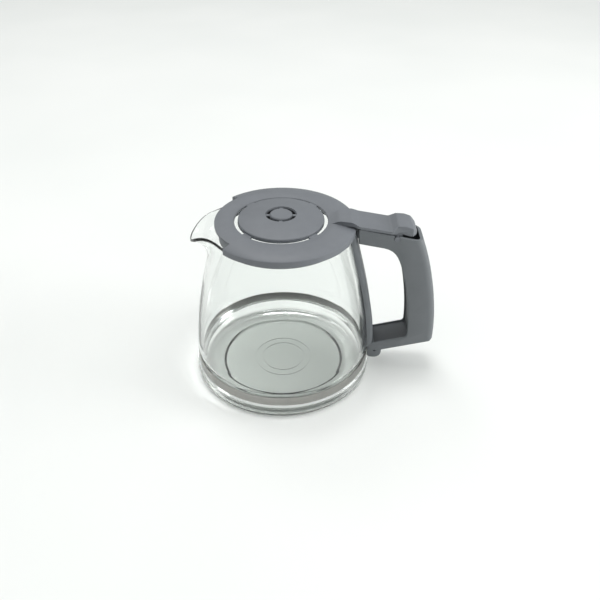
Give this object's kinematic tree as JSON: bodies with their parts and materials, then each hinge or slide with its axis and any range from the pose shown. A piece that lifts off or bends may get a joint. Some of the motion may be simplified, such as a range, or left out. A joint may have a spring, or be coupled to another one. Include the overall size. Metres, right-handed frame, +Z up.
{
  "type": "coffee carafe",
  "caption": "Round glass drip-coffee carafe with a pouring spout, a loop handle held by a steel band, and a hinged lid with a thumb pad.",
  "frame": {"origin": "middle of the glass base, on the plane the carafe stands on", "axes": "+Z up along the jug's axis, +X towards the handle, so -X is towards the spout, and XZ is the plane of symmetry"},
  "size_m": [0.2078, 0.1527, 0.1493],
  "materials": {
    "glass": "clear polished",
    "band": "brushed",
    "fastener": "plain",
    "plastic": "satin, finely textured",
    "inner_plastic": "matte"
  },
  "bodies": {
    "jug": {"glass_jug": "glass", "steel_band": "band", "band_screw": "fastener", "band_nut": "fastener", "handle_shell": "plastic", "handle_liner": "inner_plastic"},
    "lid": {"lid_cover": "plastic", "drip_baffle": "inner_plastic"}
  },
  "joints": [
    {"name": "lid_hinge", "type": "hinge", "parent": "jug", "child": "lid", "pos_m": [0.0914, 0, 0.1339], "axis": [0, 1, 0], "range_deg": [0, 75]}
  ]
}
